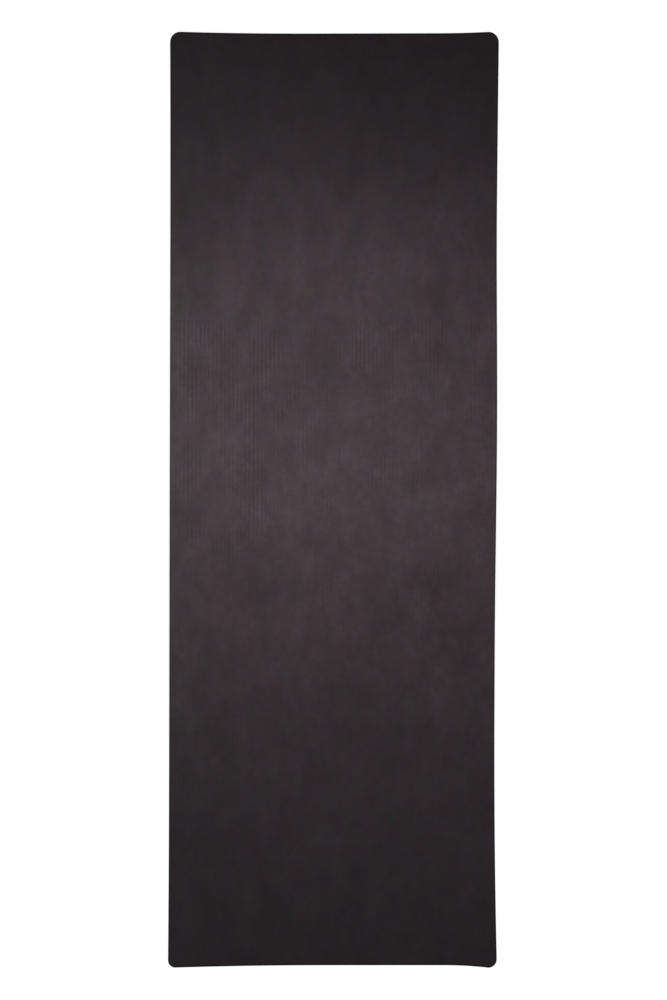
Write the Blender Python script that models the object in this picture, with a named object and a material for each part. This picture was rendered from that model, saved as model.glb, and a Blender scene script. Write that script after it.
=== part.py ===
"""A yoga mat: a microfibre suede face, laminated by a hot-melt film to a sheet of foamed natural rubber.

Metres, +Z up. The mat lies unrolled and flat. +Y runs along it and +X across it, and the origin is at the
centre of its footprint, on the floor that the lands between its grip grooves stand on.
"""

from math import asin, cos, floor, pi, radians, sin

import bmesh
import bpy

mm = 0.001

# The outline of the rubber, the largest sheet: a rectangle with round corners, whose edges are drawn in a
# few millimetres between them. Past its reach from a corner's round, a draw is full and the edge straight.
mat_length = 1850 * mm
mat_width = 650 * mm
corner_radius = 18 * mm
side_draw = 3.0 * mm
side_draw_reach = 190 * mm
end_draw = 3.6 * mm
end_draw_reach = 120 * mm

# The stack, from the floor up. The bond clearance stands for each of the two glued joints.
rubber_thickness = 3.4 * mm
film_thickness = 0.15 * mm
suede_thickness = 0.75 * mm
bond_clearance = 0.1 * mm

# The foam springs out past the suede once the die has cut both, and the suede's upper edge is worn round.
rubber_spring_out = 0.6 * mm
suede_edge_round = 0.3 * mm

# The grip grooves embossed along the floor side: round-bottomed channels between flat lands, open at both
# ends of the mat, with a plain margin along each side. The width is at the floor, over the eased edges.
groove_pitch = 8.1 * mm
groove_width = 3.8 * mm
groove_depth = 0.6 * mm
land_ease = 0.2 * mm
plain_margin = 8 * mm
cut_overrun = 5 * mm

# How many straight steps stand for each curve.
corner_steps = 10
draw_steps = 6
edge_round_steps = 3
groove_steps = 6

# Finishes, as sRGB colours.
suede_colour = "#4A4044"
film_colour = "#3A3638"
rubber_colour = "#1E1D1E"


def linear_colour(hex_code):
    """The linear RGBA colour of an sRGB code such as #4A4044."""
    channels = [int(hex_code[start : start + 2], 16) / 255 for start in (1, 3, 5)]
    return [c / 12.92 if c <= 0.04045 else ((c + 0.055) / 1.055) ** 2.4 for c in channels] + [1.0]


def finish(name, hex_code, roughness, sheen=0.0):
    """A Principled material."""
    material = bpy.data.materials.new(name)
    material.use_nodes = True
    shader = material.node_tree.nodes["Principled BSDF"]
    shader.inputs["Base Color"].default_value = linear_colour(hex_code)
    shader.inputs["Roughness"].default_value = roughness
    shader.inputs["Metallic"].default_value = 0.0
    shader.inputs["Sheen Weight"].default_value = sheen
    material.diffuse_color = linear_colour(hex_code)
    return material


def place_mesh(name, bm, material=None):
    """A named object in the scene, made of a bmesh that ends here."""
    mesh = bpy.data.meshes.new(name)
    bmesh.ops.recalc_face_normals(bm, faces=bm.faces)
    bm.to_mesh(mesh)
    bm.free()
    piece = bpy.data.objects.new(name, mesh)
    bpy.context.scene.collection.objects.link(piece)
    if material:
        mesh.materials.append(material)
    return piece


def extrude_outline(bm, corners, direction):
    """A closed solid in a bmesh: the outline through some corners, extruded along a direction."""
    start = bm.faces.new([bm.verts.new(corner) for corner in corners])
    grown = bmesh.ops.extrude_face_region(bm, geom=[start], use_keep_orig=True)
    far_corners = [item for item in grown["geom"] if isinstance(item, bmesh.types.BMVert)]
    bmesh.ops.translate(bm, verts=far_corners, vec=direction)


def drawn_in(distance, draw, reach):
    """How far an edge is drawn in, at a distance past its corner's round: fast at first, then level."""
    left = max(1.0 - distance / reach, 0.0)
    return draw * (1.0 - left * left)


def quarter_outline(inset):
    """The outline in the +X +Y quarter, from the side's drawn-in stretch round the corner to the end's."""
    half_width = mat_width / 2 - inset
    half_length = mat_length / 2 - inset
    radius = corner_radius - inset
    round_x = half_width - radius
    round_y = half_length - radius
    along_side = min(side_draw_reach, round_y)
    along_end = min(end_draw_reach, round_x)
    points = []
    for step in range(draw_steps, 0, -1):
        distance = along_side * step / draw_steps
        points.append((half_width - drawn_in(distance, side_draw, side_draw_reach), round_y - distance))
    for step in range(corner_steps + 1):
        angle = pi / 2 * step / corner_steps
        points.append((round_x + radius * cos(angle), round_y + radius * sin(angle)))
    for step in range(1, draw_steps + 1):
        distance = along_end * step / draw_steps
        points.append((round_x - distance, half_length - drawn_in(distance, end_draw, end_draw_reach)))
    return points


def sheet_outline(inset):
    """The whole outline, counter-clockwise: one quarter and its three mirror images."""
    quarter = quarter_outline(inset)
    back = quarter[::-1]
    outline = list(quarter)
    outline += [(-x, y) for x, y in back]
    outline += [(-x, -y) for x, y in quarter]
    outline += [(x, -y) for x, y in back]
    return outline


def cut_sheet(inset, bottom, thickness):
    """A bmesh of a flat sheet cut to the mat's outline, set in by an inset, with its underside at bottom."""
    bm = bmesh.new()
    extrude_outline(bm, [(x, y, bottom) for x, y in sheet_outline(inset)], (0, 0, thickness))
    return bm


def make_rubber_base():
    """The foamed rubber, with its grip grooves cut along the floor side."""
    base = place_mesh("rubber_base", cut_sheet(0, 0, rubber_thickness), rubber_finish)
    grip = base.modifiers.new("grip grooves", "BOOLEAN")
    grip.operation = "DIFFERENCE"
    grip.solver = "EXACT"
    grip.object = make_groove_cutter()
    return base


def groove_section():
    """The section of one groove, in X and Z: an arc over a mouth whose edges are eased at 45 degrees."""
    ease = min(land_ease, groove_depth / 2)
    arc_half_width = groove_width / 2 - ease
    arc_height = groove_depth - ease
    arc_radius = (arc_half_width**2 + arc_height**2) / (2 * arc_height)
    half_angle = asin(arc_half_width / arc_radius)
    below_mouth = groove_width / 2 + ease
    section = [(below_mouth, -cut_overrun), (below_mouth, -ease)]
    for step in range(groove_steps + 1):
        angle = half_angle * (1 - 2 * step / groove_steps)
        section.append((arc_radius * sin(angle), groove_depth - arc_radius * (1 - cos(angle))))
    section += [(-below_mouth, -ease), (-below_mouth, -cut_overrun)]
    return section


def make_groove_cutter():
    """One bar for each groove. They come in pairs about the middle, so that a land runs down the middle."""
    grooved_half_width = mat_width / 2 - side_draw - plain_margin - groove_width / 2
    pairs = floor((grooved_half_width - groove_pitch / 2) / groove_pitch) + 1
    first_x = -(pairs - 0.5) * groove_pitch
    start_y = -mat_length / 2 - cut_overrun
    bm = bmesh.new()
    corners = [(first_x + x, start_y, z) for x, z in groove_section()]
    extrude_outline(bm, corners, (0, mat_length + 2 * cut_overrun, 0))
    cutter = place_mesh("groove_cutter", bm)
    row = cutter.modifiers.new("groove row", "ARRAY")
    row.count = 2 * pairs
    row.use_relative_offset = False
    row.use_constant_offset = True
    row.constant_offset_displace = (groove_pitch, 0, 0)
    cutter.hide_render = True
    cutter.display_type = "WIRE"
    return cutter


def make_bond_film():
    """The hot-melt film that holds the suede to the rubber."""
    bottom = rubber_thickness + bond_clearance
    return place_mesh("bond_film", cut_sheet(rubber_spring_out, bottom, film_thickness), film_finish)


def make_suede_face():
    """The napped sheet that the user stands on, with its upper edge worn round."""
    bottom = rubber_thickness + film_thickness + 2 * bond_clearance
    bm = cut_sheet(rubber_spring_out, bottom, suede_thickness)
    upper_side = max(bm.faces, key=lambda face: face.calc_center_median().z)
    bmesh.ops.bevel(
        bm,
        geom=list(upper_side.edges),
        affect="EDGES",
        offset=min(suede_edge_round, suede_thickness / 2),
        segments=edge_round_steps,
        profile=0.5,
        material=-1,
    )
    face = place_mesh("suede_face", bm, suede_finish)
    face.data.shade_smooth()
    face.data.set_sharp_from_angle(angle=radians(40))
    return face


for leftover in list(bpy.data.objects):
    bpy.data.objects.remove(leftover, do_unlink=True)

rubber_finish = finish("foamed natural rubber", rubber_colour, 0.85)
film_finish = finish("hot-melt film", film_colour, 0.45)
suede_finish = finish("microfibre suede", suede_colour, 0.95, sheen=0.2)

make_rubber_base()
make_bond_film()
make_suede_face()
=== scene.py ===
"""The looks of a yoga mat: a napped suede face, the film under it and the ribbed foam rubber it lies on.

Metres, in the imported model's frame: +Z up, +Y along the mat, the floor at zero. The mat lies flat and is
seen from straight above.
"""

from math import cos, exp, floor, pi, radians, sin, sqrt

import bmesh
import bpy
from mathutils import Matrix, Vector


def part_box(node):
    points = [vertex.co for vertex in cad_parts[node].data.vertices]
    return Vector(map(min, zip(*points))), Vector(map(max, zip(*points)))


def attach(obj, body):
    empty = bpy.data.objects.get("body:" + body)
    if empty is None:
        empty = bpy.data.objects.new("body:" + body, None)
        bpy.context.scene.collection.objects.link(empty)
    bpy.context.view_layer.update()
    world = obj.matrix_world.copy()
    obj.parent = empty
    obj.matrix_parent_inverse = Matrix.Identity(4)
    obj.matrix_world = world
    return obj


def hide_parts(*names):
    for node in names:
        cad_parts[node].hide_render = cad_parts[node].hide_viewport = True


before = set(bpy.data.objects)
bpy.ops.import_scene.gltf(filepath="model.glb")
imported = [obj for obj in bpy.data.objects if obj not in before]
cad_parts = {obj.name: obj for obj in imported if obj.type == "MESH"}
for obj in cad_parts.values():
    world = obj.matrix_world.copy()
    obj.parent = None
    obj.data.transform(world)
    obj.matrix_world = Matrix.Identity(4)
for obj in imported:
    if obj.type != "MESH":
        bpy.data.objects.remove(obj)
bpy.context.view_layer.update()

mm = 0.001

# The stack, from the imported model.
rubber_low, rubber_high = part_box("rubber_base")
film_low, film_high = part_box("bond_film")
suede_low, suede_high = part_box("suede_face")
half_width = rubber_high.x
half_length = rubber_high.y
rubber_spring_out = rubber_high.x - suede_high.x

# The mat's own outline. A die cut it with round corners, and its edges have since drawn in between them,
# each by its own amount. A corner is named by the signs of its X and Y. A side is named by the sign of its X
# and an end by that of its Y, with one value for each end of that edge, the lesser coordinate first.
corner_radius = {
    (-1, -1): 14.4 * mm,
    (1, -1): 16.8 * mm,
    (-1, 1): 20.5 * mm,
    (1, 1): 20.7 * mm,
}
side_draw = {-1: (1.2 * mm, 1.3 * mm), 1: (6.8 * mm, 2.5 * mm)}
side_reach = {-1: (360 * mm, 420 * mm), 1: (510 * mm, 490 * mm)}
end_draw = {-1: (4.7 * mm, 5.0 * mm), 1: (4.4 * mm, 2.2 * mm)}
end_reach = {-1: (300 * mm, 88 * mm), 1: (280 * mm, 92 * mm)}

# The +X side swells out again near its middle, and both ends run a hair out of square.
swell_height = 2.5 * mm
swell_middle = 144 * mm
swell_reach = 440 * mm
out_of_square = 0.6 * mm

# The grip grooves under the rubber, and the shallow dips that they leave in the suede over them.
groove_pitch = 8.1 * mm
groove_pairs = 39
groove_half_width = 1.9 * mm
groove_depth = 0.6 * mm
land_ease = 0.2 * mm
dip_depth = 0.09 * mm
ribbed_half_width = groove_pairs * groove_pitch
end_margin = 60 * mm

# The suede's rim, which the die pressed down and rounded, and the rubber's cut wall, which dishes a little.
# Each step is a share of the rim's width outwards and a share of the piece's thickness away from its field.
suede_rim = 1.5 * mm
suede_rim_shares = ((0.34, 0.05), (0.64, 0.16), (0.87, 0.34), (1.0, 0.56), (0.96, 1.0))
rubber_rim = 0.7 * mm
rubber_rim_shares = (
    (0.55, 0.02),
    (0.9, 0.06),
    (1.0, 0.14),
    (0.8, 0.5),
    (1.0, 0.88),
    (0.9, 0.97),
    (0.6, 1.0),
)
film_rim = 0.4 * mm
film_rim_shares = ((0.8, 0.1), (1.0, 0.5), (0.8, 0.9), (0.6, 1.0))

# How far in from the rim the suede is painted darker, as the shade that falls on its rounded edge, how much
# of the ends' painted shade the sides have, and what is left of the suede's tone where the painted shade is
# deepest.
rim_shade_reach = 1.8 * mm
rim_shade_side_share = 0.45
rim_shade_tone_share = 0.15

# How finely the fields are cut, where the columns stand across half of a groove's round roof, and the angle
# past which an edge is shaded sharp.
rows = 80
dip_columns = 8
margin_columns = 15
film_columns = 24
roof_column_shares = (0, 0.36, 0.7, 1)
sharp_angle = radians(50)

# The suede looks one way in the mat's middle, up to the first of these distances from it, and another near
# both ends, from the second one on. A pair of amounts has one for the middle and one for the ends.
middle_until = 250 * mm
ends_from = 650 * mm

# How wide and long the suede's patches are, and how much lighter or darker they make it: broad ones from how
# the cloth was dyed and brushed, and smaller ones from handling.
broad_patch = (165 * mm, 230 * mm)
broad_change = 0.14
handled_patch = (42 * mm, 72 * mm)
handled_change = (0.155, 0.125)
small_patch = (14 * mm, 18 * mm)
small_change = (0.12, 0.09)

# Each kind of patch starts from a place of its own, or all of them would crease together at the mat's middle:
# so many patches off along X and Y for each millimetre of its size. Its noise hardly leaves the span that
# follows.
start_per_mm = (0.37, 0.61)
noise_low = 0.25
noise_high = 0.75

# The nap is rubbed up in patches. How far is twice a noise, so that it is 1 on average, and that raised to a
# power, so that few places stand out.
rubbed_patch = (38 * mm, 75 * mm)
rubbed_power = 3.5

# The nap's tufts and fibres and its relief, as wide and long as they are drawn. They really are a tenth of
# that, and are drawn coarser so that they show. The tufts and fibres have the first contrast, plus the second
# for each unit that the nap is rubbed up. The last pair is how much of that is left.
tuft = (6 * mm, 7 * mm)
fibre = (2 * mm, 2.4 * mm)
nap_relief = (1.6 * mm, 2.2 * mm)
nap_contrast = 0.025
nap_contrast_rubbed_up = 0.022
nap_contrast_left = (1.0, 0.4)

# Where along the mat the ribs' lines, painted light and shade of the suede's dips, show in it. They are
# strongest at the far place, and fade slowly from there to the near one. Over a short stretch beyond the far
# place they break off, but for a small share.
lines_far_place = 338 * mm
lines_near_place = -350 * mm
lines_strongest = 0.084
lines_faintest = 0.015
lines_break_off = 24 * mm
lines_share_beyond = 0.1

# Across the mat, the lines are stronger up to the first of these places, and level from the second one on.
lines_strong_until = -215 * mm
lines_level_from = -85 * mm
lines_strong_share = 0.95
lines_level_share = 0.5

# The lines show only where the nap is rubbed up by more than the first of these values. From the second one
# on they show most, and are as many times as strong as the third says.
lines_least_rubbed = 0.4
lines_most_rubbed = 3.6
lines_most = 3.9

# The dye has gone greyer in patches and more violet in others, and both more so near the ends. Towards both
# ends the suede is greyed all over by a painted haze of reflected light, and it is greyer towards the -X side
# too.
greyed_patch = (27 * mm, 36 * mm)
greyed_most = 0.8
violet_patch = (26 * mm, 38 * mm)
violet_most = 0.75
uneven_dye = (0.6, 1.2)
end_haze_reach = 300 * mm
end_haze_share = 0.35
side_grey_reach = 130 * mm
side_grey_share = 0.3

# The marks that hands and feet have left in the nap: the middle of each, its reach along X and Y, how much
# lighter or darker it makes the suede, and how much it rubs up the nap.
marks = (
    ((210 * mm, -160 * mm), (40 * mm, 40 * mm), -0.2, 4.0),
    ((175 * mm, 40 * mm), (20 * mm, 20 * mm), -0.3, 2.5),
    ((-25 * mm, 250 * mm), (25 * mm, 60 * mm), -0.1, 0.0),
    ((205 * mm, 290 * mm), (40 * mm, 25 * mm), -0.12, 1.6),
    ((240 * mm, -260 * mm), (50 * mm, 15 * mm), -0.18, 0.0),
    ((-170 * mm, -180 * mm), (30 * mm, 35 * mm), -0.05, 0.0),
    ((180 * mm, 890 * mm), (80 * mm, 20 * mm), -0.2, 0.0),
    ((-220 * mm, 300 * mm), (90 * mm, 50 * mm), 0.0, 0.6),
    ((80 * mm, 290 * mm), (45 * mm, 40 * mm), 0.0, 1.2),
    ((-160 * mm, 50 * mm), (30 * mm, 130 * mm), -0.03, 1.4),
    ((-210 * mm, 460 * mm), (25 * mm, 60 * mm), 0.2, 0.0),
    ((-65 * mm, 490 * mm), (25 * mm, 60 * mm), 0.19, 0.0),
    ((80 * mm, 545 * mm), (20 * mm, 45 * mm), 0.25, 0.0),
    ((-200 * mm, 50 * mm), (15 * mm, 80 * mm), 0.07, 0.0),
    ((205 * mm, 0 * mm), (65 * mm, 20 * mm), 0.09, 0.0),
)

# The marks' outlines wander by up to about a quarter of the first of these, in patches of the second one's
# size.
marks_wander = 16 * mm
wander_patch = (30 * mm, 30 * mm)

# How coarse the film's ripple is, and the rubber's foam cells and moulded skin. The cells really are 0.2 to
# 0.5 mm across, and are drawn coarser so that they show. The mould's powder shows from some way up a groove.
film_ripple = 4 * mm
foam_cell = 0.8 * mm
skin_grain = 1.4 * mm
powder_from = 0.1 * mm


def linear_colour(hex_code):
    """The linear RGBA colour of an sRGB code such as #4A4044."""
    channels = [int(hex_code[start : start + 2], 16) / 255 for start in (1, 3, 5)]
    return [c / 12.92 if c <= 0.04045 else ((c + 0.055) / 1.055) ** 2.4 for c in channels] + [1.0]


def clamped(value):
    """The value, held between 0 and 1."""
    return min(max(value, 0.0), 1.0)


def drawn_in(along, half, radii, draws, reaches):
    """How far an edge is drawn in at a place along it: not at all at its corners, then fast, then level."""
    draw = draws[0] + (draws[1] - draws[0]) * (along + half) / (2 * half)
    level = 1.0
    for from_corner, radius, reach in zip((half + along, half - along), radii, reaches):
        level -= clamped(1 - (from_corner - radius) / reach) ** 2
    return draw * level


def side_drawn_in(side, y):
    """How far the side at that sign of X is drawn in at a Y."""
    radii = (corner_radius[side, -1], corner_radius[side, 1])
    draw = drawn_in(y, half_length, radii, side_draw[side], side_reach[side])
    if side > 0:
        from_middle = clamped(abs(y - swell_middle) / swell_reach)
        draw -= swell_height * (1 + cos(pi * from_middle)) / 2
    return draw


def end_drawn_in(end, x):
    """How far the end at that sign of Y is drawn in at an X."""
    radii = (corner_radius[-1, end], corner_radius[1, end])
    return drawn_in(x, half_width, radii, end_draw[end], end_reach[end])


def cut_to_outline(x, y, inset):
    """Moves a point of a plain rectangle, smaller than the mat by an inset, to its place in the mat's
    outline. A square patch in each corner becomes a round one. The edges' draw is taken up in the plain
    margins, so that the ribs between them stay straight."""
    side = 1 if x > 0 else -1
    end = 1 if y > 0 else -1
    radius = corner_radius[side, end]
    round_x = half_width - radius
    round_y = half_length - radius
    across = max((abs(x) - round_x) / (radius - inset), 0)
    along = max((abs(y) - round_y) / (radius - inset), 0)
    side_weight = clamped((abs(x) - ribbed_half_width) / (half_width - inset - ribbed_half_width))
    end_weight = clamped((abs(y) - half_length + end_margin) / (end_margin - inset))
    out_x = abs(x) - side_drawn_in(side, y) * side_weight
    out_y = abs(y) - end_drawn_in(end, x) * end_weight
    if across > 0 and along > 0:
        out_x = round_x + (radius - inset) * across * sqrt(1 - along**2 / 2)
        out_y = round_y + (radius - inset) * along * sqrt(1 - across**2 / 2)
    return side * out_x, end * out_y + out_of_square * x / half_width


def shaped_field(columns, inset, height):
    """A sheet of faces with columns at the given X places. It fills the outline up to an inset from it."""
    bm = bmesh.new()
    rim_shade = bm.verts.layers.float.new("painted_rim_shade")
    last = len(columns) - 1
    bmesh.ops.create_grid(bm, x_segments=last, y_segments=rows, size=1.0)
    for vert in bm.verts:
        x = columns[round((vert.co.x + 1) / 2 * last)]
        y = (half_length - inset) * sin(pi / 2 * vert.co.y)
        # Near the border the field gets a painted rim shade, standing for the shade on the rounded edge: in
        # full at the ends, by a share at the sides.
        side_rim_shade = clamped(1 - (half_width - inset - abs(x)) / rim_shade_reach)
        end_rim_shade = clamped(1 - (half_length - inset - abs(y)) / rim_shade_reach)
        vert[rim_shade] = max(side_rim_shade * rim_shade_side_share, end_rim_shade)
        vert.co.x, vert.co.y = cut_to_outline(x, y, inset)
        vert.co.z = height(x)
    return bm


def grow_rim(bm, width, shares, far_z):
    """Extrudes a field's open border outwards and on to the far side in steps, then closes the far side."""
    rim_shade = bm.verts.layers.float["painted_rim_shade"]
    border = [edge for edge in bm.edges if edge.is_boundary]
    out_before, far_before = 0.0, 0.0
    for out_share, far_share in shares:
        grown = bmesh.ops.extrude_edge_only(bm, edges=border)["geom"]
        border = [item for item in grown if isinstance(item, bmesh.types.BMEdge) and item.is_boundary]
        outward = {}
        for edge in border:
            start, stop = edge.verts
            normal = (stop.co - start.co).cross((0, 0, 1))
            normal.z = 0
            if normal.dot(start.co) < 0:
                normal.negate()
            for vert in edge.verts:
                outward[vert] = outward.get(vert, 0 * normal) + normal.normalized()
        step = (out_share - out_before) * width
        fall = (far_share - far_before) / (1 - far_before)
        for vert, normal in outward.items():
            normal.normalize()
            vert.co += normal * step
            vert.co.z += (far_z - vert.co.z) * fall
            # The rim's own vertices carry the painted rim shade: in full where they face the ends, by a share
            # where they face the sides.
            vert[rim_shade] = rim_shade_side_share + (1 - rim_shade_side_share) * abs(normal.y)
        out_before, far_before = out_share, far_share
    bmesh.ops.edgeloop_fill(bm, edges=border)
    bmesh.ops.recalc_face_normals(bm, faces=bm.faces)


def finished_mesh(name, bm, material):
    """A bmesh's mesh, in its one material. The bmesh is freed."""
    mesh = bpy.data.meshes.new(name)
    bm.to_mesh(mesh)
    bm.free()
    mesh.materials.append(material)
    return mesh


def add_object(name, data):
    """An object of the scene, at the origin."""
    thing = bpy.data.objects.new(name, data)
    bpy.context.scene.collection.objects.link(thing)
    return thing


def finished_piece(name, node, bm, material):
    """A named piece that takes a node's place and rides on the mat's one body. It is shaded smooth, but for
    its sharp edges."""
    mesh = finished_mesh(name, bm, material)
    mesh.shade_smooth()
    mesh.set_sharp_from_angle(angle=sharp_angle)
    piece = add_object(name, mesh)
    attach(piece, "root")
    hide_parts(node)
    return piece


def margin_places(border, start, count):
    """Places evenly spaced from a start, left out, to the border."""
    return [start + (border - start) * (step + 1) / count for step in range(count)]


def mirrored(places):
    """Places on both sides of the middle, in order, from those on the +X side and the middle itself."""
    return [-place for place in reversed(places)] + [0.0] + list(places)


def groove_height(off_middle):
    """How high a groove's roof is at a place off its middle: a round roof over a mouth with eased edges."""
    off_middle = abs(off_middle)
    arc_half_width = groove_half_width - land_ease
    arc_height = groove_depth - land_ease
    arc_radius = (arc_half_width**2 + arc_height**2) / (2 * arc_height)
    if off_middle >= groove_half_width:
        return 0.0
    if off_middle >= arc_half_width:
        return groove_half_width - off_middle
    return groove_depth - arc_radius + sqrt(arc_radius**2 - off_middle**2)


def off_groove(x):
    """How far an X place is from the middle of its groove."""
    return abs(x) - (floor(abs(x) / groove_pitch) + 0.5) * groove_pitch


def suede_height(x):
    """The suede's upper side, which dips over each groove."""
    if abs(x) >= ribbed_half_width:
        return suede_high.z
    return suede_high.z - dip_depth * (1 - cos(2 * pi * x / groove_pitch)) / 2


def rubber_height(x):
    """The rubber's floor side, with its grooves."""
    if abs(x) >= ribbed_half_width:
        return rubber_low.z
    return rubber_low.z + groove_height(off_groove(x))


def make_suede_face():
    """The napped sheet that the user stands on."""
    inset = rubber_spring_out + suede_rim
    ribbed = [groove_pitch * (step + 1) / dip_columns for step in range(groove_pairs * dip_columns)]
    margin = margin_places(half_width - inset, ribbed_half_width, margin_columns)
    bm = shaped_field(mirrored(ribbed + margin), inset, suede_height)
    grow_rim(bm, suede_rim, suede_rim_shares, suede_low.z)
    return finished_piece("suede_face_napped", "suede_face", bm, suede_finish())


def make_bond_film():
    """The hot-melt film between the suede and the rubber, of which only the edge shows."""
    inset = rubber_spring_out + film_rim
    middle = [ribbed_half_width * (step + 1) / film_columns for step in range(film_columns)]
    margin = margin_places(half_width - inset, ribbed_half_width, margin_columns)
    bm = shaped_field(mirrored(middle + margin), inset, lambda x: film_high.z)
    grow_rim(bm, film_rim, film_rim_shares, film_low.z)
    return finished_piece("bond_film_satin", "bond_film", bm, film_finish())


def make_rubber_base():
    """The foamed rubber, with its embossed grooves along the floor side."""
    inset = rubber_rim
    arc_half_width = groove_half_width - land_ease
    half_groove = [arc_half_width * share for share in roof_column_shares]
    half_groove += [groove_half_width, groove_half_width + land_ease]
    offsets = [-off for off in reversed(half_groove[1:])] + half_groove + [groove_pitch / 2]
    ribbed = [(pair + 0.5) * groove_pitch + off for pair in range(groove_pairs) for off in offsets]
    margin = margin_places(half_width - inset, ribbed_half_width, margin_columns)
    bm = shaped_field(mirrored(ribbed + margin), inset, rubber_height)
    grow_rim(bm, rubber_rim, rubber_rim_shares, rubber_high.z)
    return finished_piece("rubber_base_ribbed", "rubber_base", bm, rubber_finish())


def new_material(name):
    """A material with nodes, and its Principled shader."""
    material = bpy.data.materials.new(name)
    material.use_nodes = True
    return material, material.node_tree.nodes["Principled BSDF"]


def add_node(tree, kind, inputs=None, **settings):
    """A node with its settings. An input is given a value, or what it links from: a node, or one of its
    outputs."""
    node = tree.nodes.new(kind)
    for name, value in settings.items():
        setattr(node, name, value)
    for name, value in (inputs or {}).items():
        if isinstance(value, bpy.types.Node):
            value = value.outputs[0]
        if isinstance(value, bpy.types.NodeSocket):
            tree.links.new(value, node.inputs[name])
        else:
            node.inputs[name].default_value = value
    return node


def bell_about(tree, place, middle, reach):
    """A value that is 1 at a middle, and falls off from it in a bell with a reach along X and along Y."""
    (x, y), (reach_x, reach_y) = middle, reach
    inputs = {"Vector": place, "Location": (-x / reach_x, -y / reach_y, 0)}
    inputs["Scale"] = (1 / reach_x, 1 / reach_y, 0)
    off_middle = add_node(tree, "ShaderNodeMapping", inputs)
    inputs = {0: off_middle, 1: off_middle}
    squared = add_node(tree, "ShaderNodeVectorMath", inputs, operation="DOT_PRODUCT").outputs["Value"]
    return add_node(tree, "ShaderNodeMath", {0: exp(-1), 1: squared}, operation="POWER")


def patches(tree, place, size, detail):
    """A noise whose patches are about as wide and long as a size says."""
    width, length = size
    inputs = {"Vector": place, "Scale": (1 / width, 1 / length, 1 / width)}
    inputs["Location"] = (start_per_mm[0] * width / mm, start_per_mm[1] * length / mm, 0)
    stretched = add_node(tree, "ShaderNodeMapping", inputs)
    inputs = {"Vector": stretched, "Scale": 1.0, "Detail": detail, "Roughness": 0.55}
    return add_node(tree, "ShaderNodeTexNoise", inputs)


def mottled(tree, place, tone, size, detail, amount):
    """A tone made lighter and darker, by up to about an amount, in patches of a size."""
    inputs = {"Value": patches(tree, place, size, detail), "From Min": noise_low, "From Max": noise_high}
    change = add_node(tree, "ShaderNodeMapRange", inputs | {"To Min": -1.0}, clamp=False)
    change = add_node(tree, "ShaderNodeMath", {0: change, 1: amount}, operation="MULTIPLY")
    return add_node(tree, "ShaderNodeMath", {0: change, 1: tone, 2: tone}, operation="MULTIPLY_ADD")


def off_middle(tree, place):
    """How far a place is from the mat's middle, along it."""
    along = add_node(tree, "ShaderNodeSeparateXYZ", {0: place}).outputs["Y"]
    return add_node(tree, "ShaderNodeMath", {0: along}, operation="ABSOLUTE")


def along_mat(tree, place, pair):
    """A value that goes from the first of a pair in the mat's middle to the second near both its ends."""
    inputs = {"Value": off_middle(tree, place), "From Min": middle_until, "From Max": ends_from}
    return add_node(tree, "ShaderNodeMapRange", inputs | {"To Min": pair[0], "To Max": pair[1]})


def marked_nap(tree, place, tone):
    """The suede's tone with the marks in it, and how far its nap is rubbed up."""
    inputs = {0: patches(tree, place, rubbed_patch, detail=2.0), 1: 2.0}
    rubbed = add_node(tree, "ShaderNodeMath", inputs, operation="MULTIPLY")
    rubbed = add_node(tree, "ShaderNodeMath", {0: rubbed, 1: rubbed_power}, operation="POWER")

    # The marks, whose outlines wander a little.
    inputs = {0: patches(tree, place, wander_patch, detail=2.0).outputs["Color"], 1: (0.5, 0.5, 0.5)}
    wander = add_node(tree, "ShaderNodeVectorMath", inputs, operation="SUBTRACT")
    inputs = {0: wander, 1: (marks_wander, marks_wander, 0), 2: place}
    wandered = add_node(tree, "ShaderNodeVectorMath", inputs, operation="MULTIPLY_ADD")
    for middle, reach, change, rubbed_up in marks:
        bell = bell_about(tree, wandered, middle, reach)
        tone = add_node(tree, "ShaderNodeMath", {0: bell, 1: change, 2: tone}, operation="MULTIPLY_ADD")
        if rubbed_up:
            inputs = {0: bell, 1: rubbed_up, 2: rubbed}
            rubbed = add_node(tree, "ShaderNodeMath", inputs, operation="MULTIPLY_ADD")
    return tone, rubbed


def rib_lines(tree, place, rubbed):
    """The ribs' lines, a wave across the mat: by what share they make the suede lighter or darker. They are
    painted light and shade of the dips over the grooves: darker in the dips, lighter over the lands.
    """
    axes = add_node(tree, "ShaderNodeSeparateXYZ", {0: place}).outputs
    turns = add_node(tree, "ShaderNodeMath", {0: axes["X"], 1: 2 * pi / groove_pitch}, operation="MULTIPLY")
    wave = add_node(tree, "ShaderNodeMath", {0: turns}, operation="COSINE")
    inputs = {"Value": rubbed, "From Min": lines_least_rubbed, "From Max": lines_most_rubbed}
    shown = add_node(tree, "ShaderNodeMapRange", inputs | {"To Max": lines_most})
    inputs = {"Value": axes["Y"], "From Min": lines_near_place, "From Max": lines_far_place}
    inputs |= {"To Min": lines_faintest, "To Max": lines_strongest}
    fading = add_node(tree, "ShaderNodeMapRange", inputs)
    inputs = {"Value": axes["Y"], "From Min": lines_far_place, "From Max": lines_far_place + lines_break_off}
    inputs |= {"To Min": 1.0, "To Max": lines_share_beyond}
    broken_off = add_node(tree, "ShaderNodeMapRange", inputs, interpolation_type="SMOOTHSTEP")
    inputs = {"Value": axes["X"], "From Min": lines_strong_until, "From Max": lines_level_from}
    inputs |= {"To Min": lines_strong_share, "To Max": lines_level_share}
    across = add_node(tree, "ShaderNodeMapRange", inputs)
    for share in (shown, fading, broken_off, across):
        wave = add_node(tree, "ShaderNodeMath", {0: wave, 1: share}, operation="MULTIPLY")
    return wave


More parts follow.
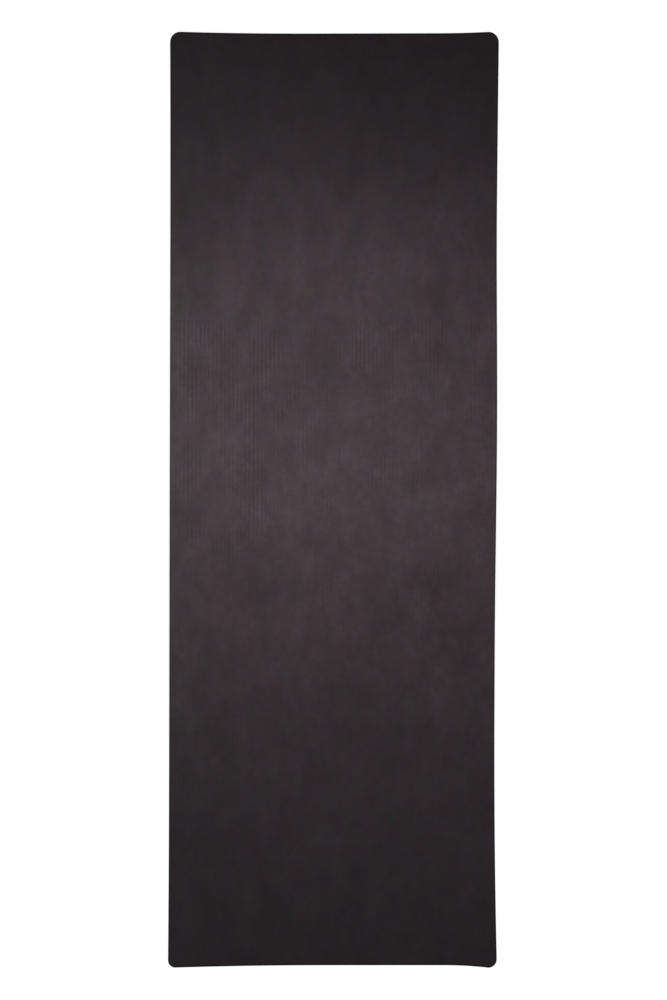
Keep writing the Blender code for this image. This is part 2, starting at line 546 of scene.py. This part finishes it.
def suede_tone(tree, place):
    """How light the suede is: its patches and marks, its tufts and fibres, the ribs' lines of painted light
    and shade, and the painted shade at the rim.
    """
    handled_amount = along_mat(tree, place, handled_change)
    small_amount = along_mat(tree, place, small_change)
    tone = mottled(tree, place, 1.0, broad_patch, detail=1.0, amount=broad_change)
    tone = mottled(tree, place, tone, handled_patch, detail=1.0, amount=handled_amount)
    tone = mottled(tree, place, tone, small_patch, detail=2.0, amount=small_amount)
    tone, rubbed = marked_nap(tree, place, tone)

    # The tufts and fibres show more where the nap is rubbed up, and less near both ends.
    inputs = {0: rubbed, 1: nap_contrast_rubbed_up, 2: nap_contrast}
    raised = add_node(tree, "ShaderNodeMath", inputs, operation="MULTIPLY_ADD")
    inputs = {0: raised, 1: along_mat(tree, place, nap_contrast_left)}
    raised = add_node(tree, "ShaderNodeMath", inputs, operation="MULTIPLY")
    tone = mottled(tree, place, tone, tuft, detail=1.0, amount=raised)
    tone = mottled(tree, place, tone, fibre, detail=1.0, amount=raised)

    inputs = {0: rib_lines(tree, place, rubbed), 1: tone, 2: tone}
    tone = add_node(tree, "ShaderNodeMath", inputs, operation="MULTIPLY_ADD")
    # The rim is painted darker, as the shade that falls on its rounded edge, more at the ends than at the
    # sides.
    rim_shade = add_node(tree, "ShaderNodeAttribute", attribute_name="painted_rim_shade").outputs["Fac"]
    inputs = {"Value": rim_shade, "To Min": 1.0, "To Max": rim_shade_tone_share}
    left = add_node(tree, "ShaderNodeMapRange", inputs)
    return add_node(tree, "ShaderNodeMath", {0: tone, 1: left}, operation="MULTIPLY")


def suede_hue(tree, place):
    """The suede's plum charcoal, greyer in some patches and more violet in others, greyer towards the -X
    side, and greyed towards both ends by a painted haze of reflected light.
    """
    uneven = along_mat(tree, place, uneven_dye)
    inputs = {"Value": patches(tree, place, greyed_patch, detail=3.0), "From Min": 0.42, "From Max": 0.66}
    greyed = add_node(tree, "ShaderNodeMapRange", inputs | {"To Max": greyed_most})
    # Towards both ends: a painted haze of reflected light, which greys the dimmer ends.
    inputs = {"Value": off_middle(tree, place), "From Min": half_length - end_haze_reach}
    inputs |= {"From Max": half_length, "To Max": end_haze_share}
    painted_end_haze = add_node(tree, "ShaderNodeMapRange", inputs)
    across = add_node(tree, "ShaderNodeSeparateXYZ", {0: place}).outputs["X"]
    inputs = {"Value": across, "From Min": -half_width + side_grey_reach, "From Max": -half_width}
    side_grey = add_node(tree, "ShaderNodeMapRange", inputs | {"To Max": side_grey_share})
    haze_and_side_grey = add_node(tree, "ShaderNodeMath", {0: painted_end_haze, 1: side_grey}, operation="ADD")
    greyed = add_node(tree, "ShaderNodeMath", {0: greyed, 1: uneven, 2: haze_and_side_grey}, operation="MULTIPLY_ADD")
    inputs = {0: greyed, 6: linear_colour("#43373B"), 7: linear_colour("#3D3A39")}
    hue = add_node(tree, "ShaderNodeMix", inputs, data_type="RGBA").outputs[2]
    inputs = {"Value": patches(tree, place, violet_patch, detail=3.0), "From Min": 0.42, "From Max": 0.68}
    violet = add_node(tree, "ShaderNodeMapRange", inputs | {"To Max": violet_most})
    violet = add_node(tree, "ShaderNodeMath", {0: violet, 1: uneven}, operation="MULTIPLY")
    inputs = {0: violet, 6: hue, 7: linear_colour("#413841")}
    return add_node(tree, "ShaderNodeMix", inputs, data_type="RGBA").outputs[2]


def suede_finish():
    """Microfibre suede, knitted, ground to a short nap and dyed plum charcoal. The nap scatters light, so
    the face has next to no gloss: soft patches show where the nap lies one way or another, faint lines of
    painted light and shade where the ribs beneath press dips into it, and a rim painted darker as the shade
    on its rounded edge."""
    material, shader = new_material("plum microfibre suede")
    tree = material.node_tree
    place = add_node(tree, "ShaderNodeTexCoord").outputs["Object"]
    inputs = {0: suede_hue(tree, place), "Scale": suede_tone(tree, place)}
    colour = add_node(tree, "ShaderNodeVectorMath", inputs, operation="SCALE")
    tree.links.new(colour.outputs[0], shader.inputs["Base Color"])

    nap = patches(tree, place, nap_relief, detail=2.0)
    bump = add_node(tree, "ShaderNodeBump", {"Strength": 0.5, "Distance": 0.1 * mm, "Height": nap})
    tree.links.new(bump.outputs[0], shader.inputs["Normal"])
    inputs = {"Value": nap, "From Min": 0.3, "From Max": 0.7, "To Min": 0.9, "To Max": 1.0}
    tree.links.new(add_node(tree, "ShaderNodeMapRange", inputs).outputs[0], shader.inputs["Roughness"])
    shader.inputs["Specular IOR Level"].default_value = 0.3
    shader.inputs["Sheen Weight"].default_value = 0.08
    shader.inputs["Sheen Roughness"].default_value = 0.6
    shader.inputs["Sheen Tint"].default_value = linear_colour("#8A7E83")
    return material


def film_finish():
    """Hot-melt polyurethane film, cast and left satin by the laminating roller: a thin dull line."""
    material, shader = new_material("hot-melt polyurethane film")
    tree = material.node_tree
    place = add_node(tree, "ShaderNodeTexCoord").outputs["Object"]
    inputs = {"Vector": place, "Scale": 1 / film_ripple, "Detail": 2.0}
    ripple = add_node(tree, "ShaderNodeTexNoise", inputs)
    inputs = {0: ripple, 6: linear_colour("#332F31"), 7: linear_colour("#423D40")}
    shade = add_node(tree, "ShaderNodeMix", inputs, data_type="RGBA").outputs[2]
    tree.links.new(shade, shader.inputs["Base Color"])
    inputs = {"Value": ripple, "To Min": 0.35, "To Max": 0.55}
    tree.links.new(add_node(tree, "ShaderNodeMapRange", inputs).outputs[0], shader.inputs["Roughness"])
    bump = add_node(tree, "ShaderNodeBump", {"Strength": 0.3, "Distance": 0.02 * mm, "Height": ripple})
    tree.links.new(bump.outputs[0], shader.inputs["Normal"])
    return material


def rubber_finish():
    """Foamed natural rubber, moulded with a closed matt skin below and cut open round the edge, where its
    cells show as fine pits, painted darker as the shade in them. The mould's release powder stays in the
    grooves as a paler, duller trace."""
    material, shader = new_material("foamed natural rubber")
    tree = material.node_tree
    place = add_node(tree, "ShaderNodeTexCoord").outputs["Object"]
    facing = add_node(tree, "ShaderNodeNewGeometry").outputs["Normal"]
    up = add_node(tree, "ShaderNodeSeparateXYZ", {0: facing}).outputs["Z"]
    level = add_node(tree, "ShaderNodeMath", {0: up}, operation="ABSOLUTE")
    inputs = {"Value": level, "From Min": 0.35, "From Max": 0.6, "To Min": 1.0, "To Max": 0.0}
    cut = add_node(tree, "ShaderNodeMapRange", inputs)

    cells = add_node(tree, "ShaderNodeTexVoronoi", {"Vector": place, "Scale": 1 / foam_cell})
    inputs = {"Value": cells.outputs["Distance"], "From Min": 0.1, "From Max": 0.6}
    pits = add_node(tree, "ShaderNodeMapRange", inputs)
    inputs = {"Vector": place, "Scale": 1 / skin_grain, "Detail": 3.0}
    grain = add_node(tree, "ShaderNodeTexNoise", inputs)
    inputs = {0: cut, 2: grain, 3: pits}
    relief = add_node(tree, "ShaderNodeMix", inputs, data_type="FLOAT")

    # The powder in the grooves.
    height = add_node(tree, "ShaderNodeSeparateXYZ", {0: place}).outputs["Z"]
    inputs = {"Value": height, "From Min": powder_from, "From Max": groove_depth, "To Max": 0.7}
    in_groove = add_node(tree, "ShaderNodeMapRange", inputs)
    skin_only = add_node(tree, "ShaderNodeMath", {0: 1.0, 1: cut}, operation="SUBTRACT")
    powder = add_node(tree, "ShaderNodeMath", {0: in_groove, 1: skin_only}, operation="MULTIPLY")
    powder = add_node(tree, "ShaderNodeMath", {0: powder, 1: grain}, operation="MULTIPLY")
    inputs = {0: powder, 6: linear_colour("#1C1B1C"), 7: linear_colour("#464343")}
    skin = add_node(tree, "ShaderNodeMix", inputs, data_type="RGBA").outputs[2]
    # The relief sets the tone as well: on the skin that is the rubber's own grain, and on the cut wall the
    # pits are painted darker, as the shade in them.
    inputs = {"Value": relief, "From Min": 0.2, "From Max": 0.8, "To Min": 0.75, "To Max": 1.2}
    tone = add_node(tree, "ShaderNodeMapRange", inputs)
    colour = add_node(tree, "ShaderNodeVectorMath", {0: skin, "Scale": tone}, operation="SCALE")
    tree.links.new(colour.outputs[0], shader.inputs["Base Color"])

    inputs = {"Value": relief, "To Min": 0.7, "To Max": 0.95}
    tree.links.new(add_node(tree, "ShaderNodeMapRange", inputs).outputs[0], shader.inputs["Roughness"])
    bump = add_node(tree, "ShaderNodeBump", {"Strength": 0.5, "Distance": 0.15 * mm, "Height": relief})
    tree.links.new(bump.outputs[0], shader.inputs["Normal"])
    shader.inputs["Specular IOR Level"].default_value = 0.3
    return material


def seen_directly(tree):
    """1 for a ray from the camera, a reflection or a clear material, and 0 for one of light that falls on a
    surface."""
    path = add_node(tree, "ShaderNodeLightPath").outputs
    inputs = {0: path["Is Camera Ray"], 1: path["Is Glossy Ray"]}
    either = add_node(tree, "ShaderNodeMath", inputs, operation="MAXIMUM")
    inputs = {0: either, 1: path["Is Transmission Ray"]}
    return add_node(tree, "ShaderNodeMath", inputs, operation="MAXIMUM")


def make_floor():
    """A pale studio floor, a hair below the rubber's lands. It glows by what it lacks to white in the
    softboxes' light, so that it is seen white all over but for the mat's shadow. From beneath it can be seen
    through, and the softbox there lights the grip side through it."""
    material, shader = new_material("pale studio floor")
    tree = material.node_tree
    shader.inputs["Base Color"].default_value = [floor_reflectance] * 3 + [1.0]
    shader.inputs["Roughness"].default_value = 0.9
    shader.inputs["Specular IOR Level"].default_value = 0.0
    shader.inputs["Emission Color"].default_value = white
    place = add_node(tree, "ShaderNodeTexCoord").outputs["Object"]
    glow = floor_whiteness
    for softbox in softboxes.values():
        bell = bell_about(tree, place, softbox["place"][:2], softbox["light_reach"])
        inputs = {0: bell, 1: -softbox["light_peak"] * floor_reflectance, 2: glow}
        glow = add_node(tree, "ShaderNodeMath", inputs, operation="MULTIPLY_ADD")
    glow = add_node(tree, "ShaderNodeMath", {0: glow, 1: seen_directly(tree)}, operation="MULTIPLY")
    tree.links.new(glow.outputs[0], shader.inputs["Emission Strength"])
    backfacing = add_node(tree, "ShaderNodeNewGeometry").outputs["Backfacing"]
    to_lamp = add_node(tree, "ShaderNodeLightPath").outputs["Is Shadow Ray"]
    clear = add_node(tree, "ShaderNodeMath", {0: backfacing, 1: to_lamp}, operation="MAXIMUM")
    inputs = {0: clear, 1: shader, 2: add_node(tree, "ShaderNodeBsdfTransparent")}
    surface = add_node(tree, "ShaderNodeMixShader", inputs)
    tree.links.new(surface.outputs[0], tree.nodes["Material Output"].inputs["Surface"])

    bm = bmesh.new()
    bmesh.ops.create_grid(bm, x_segments=1, y_segments=1, size=floor_half_size)
    bmesh.ops.translate(bm, verts=bm.verts, vec=(0, 0, -floor_gap))
    add_object("floor", finished_mesh("floor", bm, material))


def make_world():
    """White where it is seen, and a weak grey light on everything else."""
    world = bpy.data.worlds.new("studio")
    world.use_nodes = True
    bpy.context.scene.world = world
    tree = world.node_tree
    weak = tree.nodes["Background"]
    weak.inputs["Color"].default_value = white
    weak.inputs["Strength"].default_value = ambient_strength
    full = add_node(tree, "ShaderNodeBackground", {"Color": white, "Strength": 1.0})
    surface = add_node(tree, "ShaderNodeMixShader", {0: seen_directly(tree), 1: weak, 2: full})
    tree.links.new(surface.outputs[0], tree.nodes["World Output"].inputs["Surface"])


def make_softbox(name, place, size, power, target):
    """A soft rectangular lamp that faces a target and isn't seen itself."""
    data = bpy.data.lights.new(name, "AREA")
    data.shape = "RECTANGLE"
    data.size, data.size_y = size
    data.energy = power
    lamp = add_object(name, data)
    lamp.location = place
    lamp.rotation_euler = (lamp.location - Vector(target)).to_track_quat("Z", "Y").to_euler()
    lamp.visible_camera = False


def make_camera():
    """Straight above the mat, turned a hair, at the distance that gives its scale in the picture."""
    data = bpy.data.cameras.new("overhead")
    data.lens = camera_lens
    distance = camera_lens / data.sensor_width * picture_height * metres_per_pixel
    across = (picture_width / 2 - mat_middle_x) * metres_per_pixel
    along = (mat_middle_y - picture_height / 2) * metres_per_pixel
    camera = add_object("overhead", data)
    camera.location = (across, along, suede_high.z + distance)
    camera.rotation_euler.z = camera_turn
    bpy.context.scene.camera = camera


# The camera. The mat's middle is in pixels of the picture, from its top left corner.
picture_width = 667
picture_height = 1000
mat_middle_x = 333.43
mat_middle_y = 499.75
metres_per_pixel = 1.9757 * mm
camera_lens = 50
camera_turn = 0.00227

# The light: a broad softbox low over the mat, left of its middle and towards its far end, and a weaker one
# over its near half. Each lights a floor that is all white by its peak at its middle, and fades from it in a
# bell with a reach along X and along Y. A third, under the floor, rakes across the ribs from the left.
softboxes = {
    "key softbox": {
        "place": (-232 * mm, 165 * mm, 450 * mm),
        "size": (1341 * mm, 697 * mm),
        "power": 5.0,
        "light_reach": (805 * mm, 559 * mm),
        "light_peak": 0.935,
    },
    "fill softbox": {
        "place": (27 * mm, -412 * mm, 450 * mm),
        "size": (2000 * mm, 1140 * mm),
        "power": 1.85,
        "light_reach": (1158 * mm, 854 * mm),
        "light_peak": 0.24,
    },
}
under_place = (-1400 * mm, 0, -900 * mm)
under_size = (1000 * mm, 2400 * mm)
under_power = 60.0
white = linear_colour("#FFFFFF")
ambient_strength = 0.01
floor_reflectance = 0.5
floor_whiteness = 1.045
floor_half_size = 12
floor_gap = 0.1 * mm

rubber = make_rubber_base()
film = make_bond_film()
suede = make_suede_face()

make_floor()
make_world()
for name, softbox in softboxes.items():
    x, y, _ = softbox["place"]
    make_softbox(name, softbox["place"], softbox["size"], softbox["power"], target=(x, y, 0))
make_softbox("underside softbox", under_place, under_size, under_power, target=(0, 0, 0))
make_camera()
bpy.context.scene.view_settings.view_transform = "Standard"
